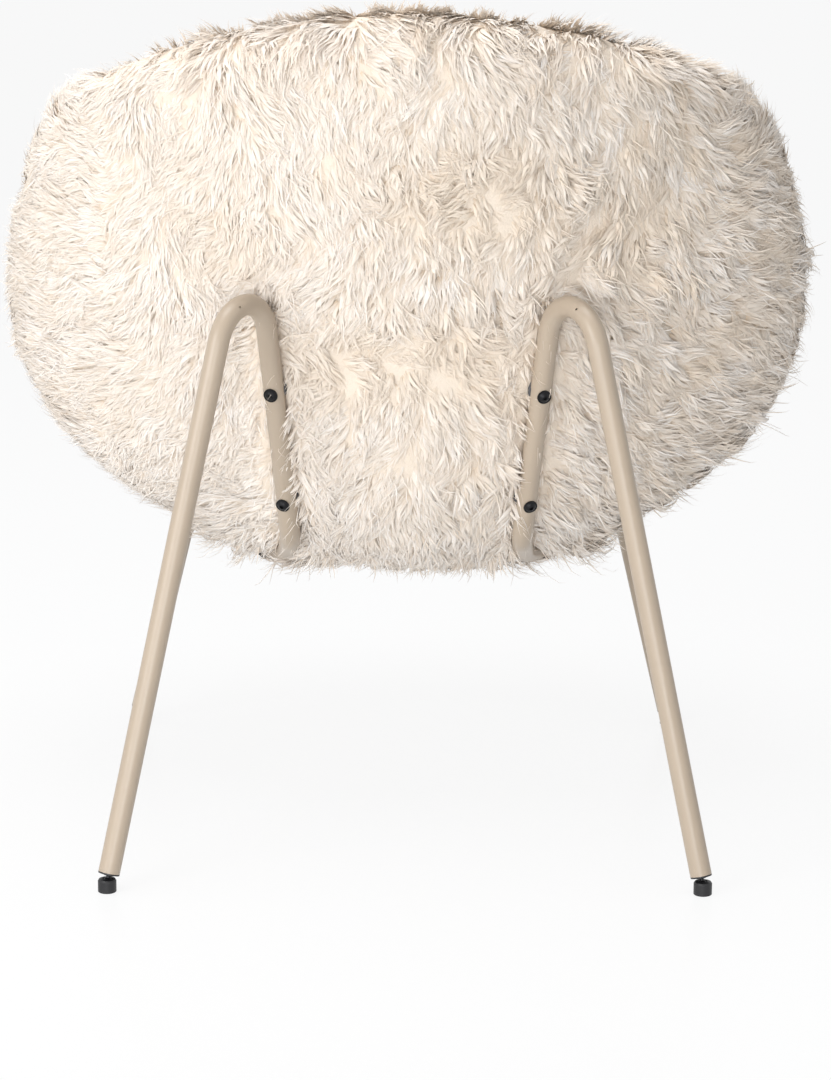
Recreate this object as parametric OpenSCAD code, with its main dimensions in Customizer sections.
// Padded bucket lounge chair, covered in long fur, on two bent tube side frames.
// Left is +X, the front is -Y. The form is measured from the rear feet forwards.

/* [Seat form, outside of the fur] */
// Width across the rim at its sides
rim_w = 748; // [700:2:790]
// Distance of the rim's top ahead of the rear feet
top_ahead = 87; // [70:1:110]
// Height of the rim's top
top_h = 743; // [715:1:770]
// Distance of the rim's sides ahead of the rear feet
side_ahead = 394; // [375:1:410]
// Height of the rim's sides
side_h = 610; // [590:1:630]
// Distance of the rim's front ahead of the rear feet
front_ahead = 700; // [670:1:740]
// Height of the rim's front
front_h = 350; // [335:1:375]
// Distance of the bottom corner ahead of the rear feet
base_ahead = 265; // [255:1:280]
// Height of the bottom corner
base_h = 246; // [238:1:258]
// Slope of the form at its bottom corner, in degrees
base_slope = 31; // [27:1:34]
// Lean of the back at the rim, in degrees from upright
back_lean = 16; // [13:1:20]
// Lean of the sides towards the middle at the rim, in degrees
side_lean = 21; // [17:1:24]
// Lean of the sides to the back at the rim, in degrees
side_back = 0; // [-3:1:4]
// Rise of the seat at the front rim, in degrees
front_rise = 20; // [16:1:24]
// Straight reach of the corner's curve towards the top
base_reach_top = 141; // [128:1:154]
// Straight reach of the corner's curve towards the sides
base_reach_side = 156; // [145:1:170]
// Straight reach of the corner's curve towards the front
base_reach_front = 166; // [152:1:180]
// Straight reach of the rim's curve down the back
rim_reach_top = 321; // [300:1:335]
// Straight reach of the rim's curve down the sides
rim_reach_side = 306; // [290:1:320]
// Straight reach of the rim's curve along the seat
rim_reach_front = 139; // [125:1:150]
// Fullness of the rim's outline between top and sides
shoulder_share = -0.09; // [-0.14:0.01:-0.04]
// Fullness of the rim's outline between front and sides
knee_share = 0.12; // [0.06:0.01:0.14]

/* [Upholstery layers] */
// Thickness of the whole padded wall, fur to fur
wall_t = 84; // [78:1:88]
// Thickness of the fur cover with its pile
cover_t = 18; // [15:0.5:22]
// Thickness of the wadding behind the shell
wadding_t = 6; // [4:0.5:9]
// Thickness of the moulded shell
shell_t = 8; // [6:0.5:10]
// Gap between neighbouring layers
layer_gap = 0.3; // [0.2:0.05:0.5]
// Gap between the rim's roll and the layers that end under it
roll_gap = 3; // [2.8:0.1:3.4]

/* [Side frames] */
// Outer diameter of the tube
tube_d = 20; // [18:0.5:22]
// Wall of the tube
tube_wall = 1.5; // [1.2:0.1:2]
// Distance between the middles of the rear feet
rear_feet_w = 546; // [500:2:600]
// Distance between the middles of the front feet
front_feet_w = 565; // [520:2:620]
// Distance from the rear feet to the front feet
feet_depth = 550; // [510:2:590]
// Radius of the top bend, on the middle of the tube
top_bend_r = 40; // [34:1:44]
// Radius of the slight bend between the back bolts
knee_bend_r = 150; // [100:5:200]
// Radius of the bend under the back
low_bend_r = 45; // [38:1:50]
// Radius of the bend under the seat
seat_bend_r = 110; // [80:5:130]
// Radius of the bend above the front leg
front_bend_r = 40; // [34:1:46]
// Run from the slight bend up to the top bend's corner
up_run = 268; // [253:1:278]
// Run from the slight bend down to the lower corner
down_run = 106; // [98:1:116]
// Run from the bend under the seat to the corner above the front leg
front_run = 213; // [199:1:227]
// Depth of the tube's middle under the fur's surface at the back
back_sink = 2; // [0:0.5:4]
// Depth of the tube's middle under the fur's surface at the bend under the seat
seat_sink = 2.5; // [1.8:0.1:3.2]
// Depth of the tube's middle under the fur's surface at the seat's bolts
seat_bolt_sink = 0; // [0:0.1:0.8]
// Diameter of the vent hole in the top bend
vent_d = 2.5; // [2:0.1:3.5]

/* [Fasteners] */
// Thread diameter of the bolts
bolt_d = 6; // [5:0.5:6]
// Length of the bolts under the head
bolt_len = 35; // [33:0.5:36]
// Diameter of the bolt head's flange
flange_d = 13.6; // [12:0.1:15]
// Thickness of the flange
flange_t = 1.2; // [1:0.1:1.6]
// Diameter of the bolt head's dome
dome_d = 10.4; // [9.5:0.1:11]
// Height of the dome above the flange
dome_h = 2.8; // [2.4:0.1:3.2]
// Width of the hexagon socket across its flats
socket_w = 4; // [3:0.5:4]
// Depth of the hexagon socket
socket_h = 2.2; // [1.8:0.1:2.6]
// Outer diameter of the threaded inserts
insert_d = 8.5; // [8:0.1:9.5]
// Length of the threaded inserts
insert_len = 12; // [10:0.5:12.5]
// Diameter of the shell's bosses
boss_d = 22; // [18:0.5:24]
// Thickness of the shell left over a boss's blind hole
boss_skin = 2.6; // [2:0.1:3.2]

/* [Feet] */
// Diameter of the foot pad
pad_d = 17; // [15:0.5:19]
// Height of the ball's middle over the floor
ball_h = 9; // [8:0.5:11]
// Diameter of the ball
ball_d = 9; // [8:0.1:9.5]
// Diameter of the neck between ball and plug
neck_d = 3.8; // [3.2:0.1:4]
// Greatest tilt of the pad about the leg, in degrees
pad_tilt = 25; // [20:1:25]
// Height of the pad above the ball's middle
pad_lip = 3.6; // [3.4:0.1:3.8]
// Bevel of the pad's lower edge
pad_edge = 0.5; // [0.3:0.1:0.8]
// Distance from the ball's middle to the tube's end
end_gap = 9; // [8.6:0.1:11]
// Depth of the plug inside the tube
plug_len = 18; // [14:1:24]
// Thickness of the plug's flange on the tube's end
plug_flange_t = 1.5; // [1.2:0.1:2]
// Height of each gripping rib on the plug
plug_rib_h = 3; // [2:0.5:4]
// Distance from one gripping rib to the next
plug_rib_step = 4.5; // [4.5:0.5:6]
// Diameter of the stud's shank in the plug
shank_d = 6; // [5:0.5:8]

/* [Hidden] */

// Colours
fur_colour = [0.93, 0.89, 0.83];
tube_colour = [0.74, 0.67, 0.58];
black_colour = [0.12, 0.12, 0.13];
brass_colour = [0.78, 0.62, 0.32];
steel_colour = [0.7, 0.71, 0.72];
foam_colour = [0.95, 0.86, 0.6];
shell_colour = [0.35, 0.36, 0.38];
wadding_colour = [0.9, 0.92, 0.94];

// Places on the form: a share of the way from the bottom corner to the rim,
// and an angle about the corner, with 0 towards the top and 90 towards the left
high_bolt_share = 0.571;
high_bolt_angle = 24.2;
knee_bend_share = 0.446;
knee_bend_angle = 29.2;
low_bolt_share = 0.317;
low_bolt_angle = 41.6;
seat_bend_share = 0.257;
seat_bend_angle = 126;
seat_bolt_share = 0.34;
seat_bolt_angle = 134.7;

// Facets of the soft forms and of round parts, and steps for slopes
columns = 44;
rows = 7;
cap_rows = 5;
seam_row = 5;
fine = 64;
coarse = 32;
diff_share = 0.001;
diff_angle = 0.1;

// Clearances, and the overrun of cuts
cut_over = 1;
saddle_gap = 0.2;
hole_gap = 0.2;
fit_gap = 0.05;
plug_gap = 0.1;

tube_r = tube_d / 2;
bore_r = tube_r - tube_wall;

function unit(v) = v / norm(v);

// A value that passes smoothly through those for the top, the sides and the front
function trio(top, side, front, toward, a) =
    let (mid = (top + front) / 2)
    (mid + side) / 2 + (top - front) / 2 * toward + (mid - side) / 2 * cos(2 * a);

// The rim, an oval loop that slopes down to the front
function rim(a) =
    let (full_share = (shoulder_share + knee_share) / 2 + (shoulder_share - knee_share) / 2 * cos(a),
        toward = cos(a) * (1 + full_share * pow(sin(a), 2)))
    [rim_w / 2 * sin(a) * (1 + full_share * pow(cos(a), 2)),
        -trio(top_ahead, side_ahead, front_ahead, toward, a),
        trio(top_h, side_h, front_h, toward, a)];

// Direction in which the wall meets the rim
function rim_way(a) = unit([-tan(side_lean) * sin(a),
    trio(sin(back_lean), sin(side_back), -cos(front_rise), cos(a), a),
    trio(cos(back_lean), cos(side_back), sin(front_rise), cos(a), a)]);

// The outside of the fur: each line from the bottom corner to the rim is one cubic curve
base = [0, -base_ahead, base_h];
base_in = [0, -sin(base_slope), cos(base_slope)];
function form(s, a) =
    let (base_way = [sin(a), cos(base_slope) * cos(a), sin(base_slope) * cos(a)],
        reach_0 = trio(base_reach_top, base_reach_side, base_reach_front, cos(a), a),
        reach_1 = trio(rim_reach_top, rim_reach_side, rim_reach_front, cos(a), a),
        end = rim(a), q = 1 - s)
    q * q * q * base + 3 * q * q * s * (base + reach_0 * base_way)
        + 3 * q * s * s * (end - reach_1 * rim_way(a)) + s * s * s * end;

// Unit normal of the form, towards the sitter
function form_in(s, a) = unit(cross(
    form(s, a + diff_angle) - form(s, a - diff_angle),
    form(s + diff_share, a) - form(s - diff_share, a)));

// The wall on a grid of lines and rows, and its rounded edge
angles = [for (j = [0:columns - 1]) 360 * j / columns];
grid = [for (i = [1:rows]) [for (a = angles) form(i / rows, a)]];
grid_in = [for (i = [1:rows]) [for (a = angles) form_in(i / rows, a)]];
edge_way = [for (a = angles) unit(form(1, a) - form(1 - diff_share, a))];

function wall_ring(i, depth) = [for (j = [0:columns - 1]) grid[i - 1][j] + depth * grid_in[i - 1][j]];
function edge_ring(k, depth) =
    let (turn = 180 * k / cap_rows, reach = wall_t / 2 - depth)
    [for (j = [0:columns - 1]) grid[rows - 1][j] + wall_t / 2 * grid_in[rows - 1][j]
        + reach * (sin(turn) * edge_way[j] - cos(turn) * grid_in[rows - 1][j])];

// All rings of the skin that lies at one depth under the fur's surface:
// from the outer middle over the rim's edge to the inner middle
function skin(depth) = concat(
    [[base + depth * base_in]],
    [for (i = [1:rows]) wall_ring(i, depth)],
    [for (k = [1:cap_rows - 1]) edge_ring(k, depth)],
    [for (i = [rows:-1:1]) wall_ring(i, wall_t - depth)],
    [[base + (wall_t - depth) * base_in]]);

function part_of(list, first, last) = [for (i = [first:last]) list[i]];
function turned(list) = [for (i = [len(list) - 1:-1:0]) list[i]];
function flat(list) = [for (ring = list, p = ring) p];
function starts(rings, i = 0, sum = 0) = i == len(rings) ? [] : concat([sum], starts(rings, i + 1, sum + len(rings[i])));

// Triangles between two neighbouring rings, of which one may be a single point. Where the
// rings run back, the other diagonals are used, so that neighbouring layers match
function strip(a, na, b, nb, loop, back) =
    let (n = max(na, nb), last = loop ? n - 1 : n - 2)
    n == 1 ? [] :
    na == 1 ? [for (j = [0:last]) [a, b + (j + 1) % n, b + j]] :
    nb == 1 ? [for (j = [0:last]) [a + j, a + (j + 1) % n, b]] :
    [for (j = [0:last]) let (k = (j + 1) % n) each back
        ? [[a + j, a + k, b + j], [a + k, b + k, b + j]]
        : [[a + j, b + k, b + j], [a + j, a + k, b + k]]];

// A closed solid from rings that run round its section, and run back from one of them on
module ringed(rings, loop = true, back_from = undef) {
    first = starts(rings);
    n = len(rings);
    around = [for (i = [0:n - 1]) let (k = (i + 1) % n, back = back_from != undef && i >= back_from)
        each strip(first[i], len(rings[i]), first[k], len(rings[k]), loop, back)];
    half = n / 2;
    ends = loop ? [] : [for (i = [0:half - 2]) let (p = i, q = i + 1, r = n - 2 - i, s = n - 1 - i)
        each [[first[p], first[q], first[r]], [first[p], first[r], first[s]],
            [last_of(rings, first, p), last_of(rings, first, r), last_of(rings, first, q)],
            [last_of(rings, first, p), last_of(rings, first, s), last_of(rings, first, r)]]];
    polyhedron(flat(rings), concat(around, ends));
}
function last_of(rings, first, i) = first[i] + len(rings[i]) - 1;

// A layer between two depths, over part of the rows
module layer(near, far, first, last) {
    ringed(concat(part_of(skin(near), first, last), turned(part_of(skin(far), first, last))),
        back_from = last - first + 1);
}

// Depths of the layers
wadding_0 = cover_t + layer_gap;
wadding_1 = wadding_0 + wadding_t;
shell_0 = wadding_1 + layer_gap;
shell_1 = shell_0 + shell_t;
foam_0 = shell_1 + layer_gap;
foam_1 = wall_t - cover_t - layer_gap;
last_row = 2 * rows + cap_rows;

// Places of the frame, on the left side
function spot(share, angle, sink) = form(share, angle) + sink * form_in(share, angle);
high_bolt = spot(high_bolt_share, high_bolt_angle, back_sink);
knee = spot(knee_bend_share, knee_bend_angle, back_sink);
low_bolt = spot(low_bolt_share, low_bolt_angle, back_sink);
seat_knee = spot(seat_bend_share, seat_bend_angle, seat_sink);
seat_bolt = spot(seat_bolt_share, seat_bolt_angle, seat_bolt_sink);
top_corner = knee + up_run * unit(high_bolt - knee);
low_corner = knee + down_run * unit(low_bolt - knee);
front_corner = seat_knee + front_run * unit(seat_bolt - seat_knee);
rear_ball = [rear_feet_w / 2, 0, ball_h];
front_ball = [front_feet_w / 2, -feet_depth, ball_h];
rear_way = unit(top_corner - rear_ball);
front_way = unit(front_corner - front_ball);
rear_end = rear_ball + end_gap * rear_way;
front_end = front_ball + end_gap * front_way;
route = [rear_end, top_corner, knee, low_corner, seat_knee, front_corner, front_end];
bend_radii = [0, top_bend_r, knee_bend_r, low_bend_r, seat_bend_r, front_bend_r, 0];

// The origin lies in the middle of the chair's depth, on the floor
depths = [for (ring = skin(0), p = ring) p[1]];
rear_most = max(max(depths), pad_d / 2);
front_most = min(depths);
module placed() { translate([0, -(rear_most + front_most) / 2, 0]) children(); }
module right_side() { mirror([1, 0, 0]) children(); }
module both_sides() { children(); right_side() children(); }

// Turns children so that their Z runs along one direction, and X near another
module aimed(at, z_way, x_way) {
    z = unit(z_way);
    y = unit(cross(z, x_way));
    x = cross(y, z);
    multmatrix([[x[0], y[0], z[0], at[0]], [x[1], y[1], z[1], at[1]], [x[2], y[2], z[2], at[2]], [0, 0, 0, 1]])
        children();
}
function across(v) = abs(unit(v)[2]) < 0.9 ? [0, 0, 1] : [1, 0, 0];

// The tube as a bender makes it: straights, and at each corner a roll and a turn
ways = [for (i = [0:len(route) - 2]) unit(route[i + 1] - route[i])];
last_run = len(ways) - 1;
function square_to(v, way) = unit(v - (v * way) * way);
function turn_at(i) = acos(ways[i - 1] * ways[i]);
function side_at(i) = square_to(ways[i], ways[i - 1]);
function roll_at(i) = i == 1 ? 0 :
    let (x = cos(turn_at(i - 1)) * side_at(i - 1) - sin(turn_at(i - 1)) * ways[i - 2])
    atan2(cross(x, side_at(i)) * ways[i - 1], x * side_at(i));
function tangent_len(i) = bend_radii[i] == 0 ? 0 : bend_radii[i] * tan(turn_at(i) / 2);
function straight_len(i) = norm(route[i + 1] - route[i]) - tangent_len(i) - tangent_len(i + 1);

// Solid bar along the route, run on at both ends by a given length. The tube's bends are
// drawn a little slimmer than its straights, which reach a short way into them, and
// what is cut for the tube has more room round the bends
bend_slim = 0.02;
bend_lap = 0.5;
bend_room = 0.3;
module bar(r, over, slim = bend_slim) {
    aimed(route[0] - over * ways[0], ways[0], side_at(1)) bar_from(0, r, over, slim);
}

module bar_from(i, r, over, slim) {
    bend_r = bend_radii[i + 1];
    h = straight_len(i) + (i == 0 || i == last_run ? over : 0);
    before = i == 0 ? 0 : bend_lap;
    beyond = i == last_run ? 0 : bend_lap;
    translate([0, 0, -before]) cylinder(h = before + h + beyond, r = r, $fn = fine);
    if (i < last_run) translate([0, 0, h]) rotate([0, 0, roll_at(i + 1)]) {
        translate([bend_r, 0, 0]) rotate([90, 0, 180])
            rotate_extrude(angle = turn_at(i + 1), $fn = fine * 2)
                translate([bend_r, 0]) circle(r = r - slim, $fn = fine);
        translate([bend_r, 0, 0]) rotate([0, turn_at(i + 1), 0]) translate([-bend_r, 0, 0])
            bar_from(i + 1, r, over, slim);
    }
}

// Axis of a bolt: square to the tube, as near as that lets to the form's normal
function bolt_way(share, angle, along) =
    let (n = form_in(share, angle), d = unit(along)) unit(n - (n * d) * d);
back_bolt_spots = [
    [high_bolt, bolt_way(high_bolt_share, high_bolt_angle, high_bolt - knee), back_sink],
    [low_bolt, bolt_way(low_bolt_share, low_bolt_angle, low_bolt - knee), back_sink]];
seat_bolt_spots = [
    [seat_bolt, bolt_way(seat_bolt_share, seat_bolt_angle, seat_bolt - seat_knee), seat_bolt_sink]];
bolt_spots = concat(back_bolt_spots, seat_bolt_spots);
module at_bolts(spots) { for (s = spots) aimed(s[0], s[1], across(s[1])) children(); }

insert_0 = tube_r + flange_t;
insert_1 = insert_0 + insert_len;
bolt_tip = bolt_len - tube_r;

// Moulded shell: a thin bucket with a boss behind each bolt, cupped for the tube
module seat_shell() {
    color(shell_colour) placed() difference() {
        union() {
            layer(shell_0, shell_1, 0, rows);
            both_sides() for (s = bolt_spots) aimed(s[0], s[1], across(s[1]))
                cylinder(h = shell_1 - s[2] - boss_skin, d = boss_d, $fn = fine);
        }
        both_sides() {
            at_bolts(bolt_spots) {
                cylinder(h = insert_1, d = insert_d, $fn = fine);
                cylinder(h = bolt_tip + cut_over, d = bolt_d + hole_gap, $fn = fine);
            }
            bar(tube_r + saddle_gap, 0, -bend_room);
        }
    }
}

// Half of the foam lining, over the lines from one column to another
module foam_half(first, last) {
    near = skin(foam_0);
    far = skin(foam_1);
    function arc(ring) = len(ring) == 1 ? ring
        : [for (j = [first:last]) ring[(j + columns) % columns]];
    ringed(concat([for (i = [0:rows]) arc(near[i])], [for (i = [rows:-1:0]) arc(far[i])]), loop = false);
}

module seat_foam() { color(foam_colour) placed() foam_half(columns / 4, 3 * columns / 4); }

module back_foam() { color(foam_colour) placed() foam_half(-columns / 4, columns / 4); }

// Soft D-shaped roll along the whole rim, a little clear of the layers that end under it
module rim_roll() {
    color(foam_colour) placed()
        ringed([for (k = [0:cap_rows])
            let (ring = edge_ring(k, cover_t + roll_gap / 2), lift = roll_gap * (1 - sin(180 * k / cap_rows)))
            [for (j = [0:columns - 1]) ring[j] + lift * edge_way[j]]], back_from = cap_rows);
}

module boss_holes() {
    both_sides() at_bolts(bolt_spots)
        cylinder(h = shell_1, d = boss_d + 2 * layer_gap, $fn = fine);
}

module back_wadding() {
    color(wadding_colour) placed() difference() {
        layer(wadding_0, wadding_1, 0, rows);
        boss_holes();
    }
}

// Front panel of the cover: seat, inside of the back, rim and the upper outside
module fur_cover_front() {
    color(fur_colour) placed() difference() {
        layer(0, cover_t, seam_row, last_row);
        tube_grooves();
    }
}

// Back panel of the cover
module fur_cover_back() {
    color(fur_colour) placed() difference() {
        layer(0, cover_t, 0, seam_row);
        tube_grooves();
        boss_holes();
    }
}

// Where the tubes press into the pile
module tube_grooves() { both_sides() bar(tube_r + layer_gap, 0, -bend_room); }

// Vent on the rear face of the top bend, nearer to the leg than to the back
vent_share = 0.34;
module vent() {
    middle = route[1] + top_bend_r / cos(turn_at(1) / 2) * unit(ways[1] - ways[0]);
    turn = vent_share * turn_at(1);
    out = -cos(turn) * side_at(1) + sin(turn) * ways[0];
    along = cos(turn) * ways[0] + sin(turn) * side_at(1);
    aimed(middle + top_bend_r * out, square_to([0, 1, 0], along), out)
        cylinder(h = tube_d, d = vent_d, $fn = coarse);
}

// One tube: rear leg, top bend, run down the back, run under the seat, front leg
module leg_frame() {
    difference() {
        bar(tube_r, 0);
        bar(bore_r, cut_over);
        at_bolts(bolt_spots) translate([0, 0, -tube_d])
            cylinder(h = 2 * tube_d, d = bolt_d + 2 * hole_gap, $fn = fine);
        vent();
    }
}
module leg_frame_left() { color(tube_colour) placed() leg_frame(); }
module leg_frame_right() { color(tube_colour) placed() right_side() leg_frame(); }

// Flanged button-head bolt with a hexagon socket, its head against the tube's outside
dome_r = (pow(dome_d / 2, 2) + pow(dome_h, 2)) / (2 * dome_h);
module bolt() {
    translate([0, 0, -tube_r]) {
        cylinder(h = bolt_len, d = bolt_d - 2 * fit_gap, $fn = fine);
        translate([0, 0, -flange_t]) difference() {
            union() {
                cylinder(h = flange_t, d = flange_d, $fn = fine);
                intersection() {
                    translate([0, 0, dome_r - dome_h]) sphere(r = dome_r, $fn = fine);
                    translate([0, 0, -dome_h]) cylinder(h = dome_h, d = dome_d, $fn = fine);
                }
            }
            translate([0, 0, -dome_h - cut_over])
                cylinder(h = socket_h + cut_over, d = socket_w / cos(30), $fn = 6);
        }
    }
}
module back_bolts() { color(black_colour) placed() both_sides() at_bolts(back_bolt_spots) bolt(); }
module seat_bolts() { color(black_colour) placed() both_sides() at_bolts(seat_bolt_spots) bolt(); }

module shell_inserts() {
    color(brass_colour) placed() both_sides() at_bolts(bolt_spots)
        translate([0, 0, insert_0]) difference() {
            cylinder(h = insert_len, d = insert_d - 2 * fit_gap, $fn = fine);
            translate([0, 0, -cut_over]) cylinder(h = insert_len + 2 * cut_over, d = bolt_d, $fn = fine);
        }
}

// Feet: a plug in the tube's end holds a ball stud, and the pad tilts on the ball
plug_dome_d = 2 * neck_d;
plug_dome_h = end_gap - plug_flange_t - ball_d / 2 - plug_flange_t;
module foot_plug(way, ball) {
    aimed(ball, way, [0, 1, 0]) translate([0, 0, end_gap]) difference() {
        union() {
            cylinder(h = plug_len, r = bore_r - 2 * plug_gap, $fn = fine);
            for (z = [plug_rib_step:plug_rib_step:plug_len - plug_rib_h])
                translate([0, 0, z]) cylinder(h = plug_rib_h, r = bore_r - plug_gap, $fn = fine);
            translate([0, 0, -plug_flange_t]) cylinder(h = plug_flange_t, r = tube_r - plug_gap, $fn = fine);
            translate([0, 0, -plug_flange_t - plug_dome_h])
                cylinder(h = plug_dome_h, d1 = plug_dome_d, d2 = 2 * bore_r, $fn = fine);
        }
        translate([0, 0, -end_gap]) cylinder(h = end_gap + plug_len - plug_rib_h, d = shank_d, $fn = fine);
    }
}

module ball_stud(way, ball) {
    shank_0 = end_gap - plug_flange_t - plug_dome_h;
    aimed(ball, way, [0, 1, 0]) {
        sphere(d = ball_d, $fn = fine);
        cylinder(h = shank_0 + fit_gap, d = neck_d, $fn = fine);
        translate([0, 0, shank_0])
            cylinder(h = end_gap + plug_len - plug_rib_h - shank_0 - fit_gap, d = shank_d - 2 * fit_gap, $fn = fine);
    }
}

// Pad: turned profile with a ball socket whose mouth clears the tilted neck
socket_r = ball_d / 2 + fit_gap;
mouth_share = 0.72;
shoulder_drop_share = 0.55;
mouth_h = mouth_share * pad_lip;
mouth_r = mouth_h * tan(pad_tilt) + neck_d / 2 / cos(pad_tilt) + hole_gap;
lip_r = pad_lip * tan(pad_tilt) + neck_d / 2 / cos(pad_tilt) + 2 * hole_gap;
pad_shoulder = pad_lip - shoulder_drop_share * pad_lip;
module foot_pad(ball) {
    translate([ball[0], ball[1], 0]) difference() {
        rotate_extrude($fn = fine) polygon([
            [0, 0], [pad_d / 2 - pad_edge, 0], [pad_d / 2, pad_edge], [pad_d / 2, ball_h + pad_shoulder],
            [pad_d / 2 - 2 * pad_edge, ball_h + pad_lip - pad_edge], [lip_r + pad_edge, ball_h + pad_lip],
            [0, ball_h + pad_lip]]);
        translate([0, 0, ball_h]) {
            sphere(r = socket_r, $fn = fine);
            cylinder(h = mouth_h + fit_gap, r = mouth_r, $fn = fine);
            translate([0, 0, mouth_h]) cylinder(h = pad_lip - mouth_h + fit_gap, r1 = mouth_r, r2 = lip_r, $fn = fine);
        }
    }
}

module foot_plug_rear_left() { color(black_colour) placed() foot_plug(rear_way, rear_ball); }
module foot_plug_rear_right() { color(black_colour) placed() right_side() foot_plug(rear_way, rear_ball); }
module foot_plug_front_left() { color(black_colour) placed() foot_plug(front_way, front_ball); }
module foot_plug_front_right() { color(black_colour) placed() right_side() foot_plug(front_way, front_ball); }
module ball_stud_rear_left() { color(steel_colour) placed() ball_stud(rear_way, rear_ball); }
module ball_stud_rear_right() { color(steel_colour) placed() right_side() ball_stud(rear_way, rear_ball); }
module ball_stud_front_left() { color(steel_colour) placed() ball_stud(front_way, front_ball); }
module ball_stud_front_right() { color(steel_colour) placed() right_side() ball_stud(front_way, front_ball); }
module foot_pad_rear_left() { color(black_colour) placed() foot_pad(rear_ball); }
module foot_pad_rear_right() { color(black_colour) placed() right_side() foot_pad(rear_ball); }
module foot_pad_front_left() { color(black_colour) placed() foot_pad(front_ball); }
module foot_pad_front_right() { color(black_colour) placed() right_side() foot_pad(front_ball); }

seat_shell();
seat_foam();
back_foam();
rim_roll();
back_wadding();
fur_cover_front();
fur_cover_back();
leg_frame_left();
leg_frame_right();
back_bolts();
seat_bolts();
shell_inserts();
foot_plug_rear_left();
foot_plug_rear_right();
foot_plug_front_left();
foot_plug_front_right();
ball_stud_rear_left();
ball_stud_rear_right();
ball_stud_front_left();
ball_stud_front_right();
foot_pad_rear_left();
foot_pad_rear_right();
foot_pad_front_left();
foot_pad_front_right();
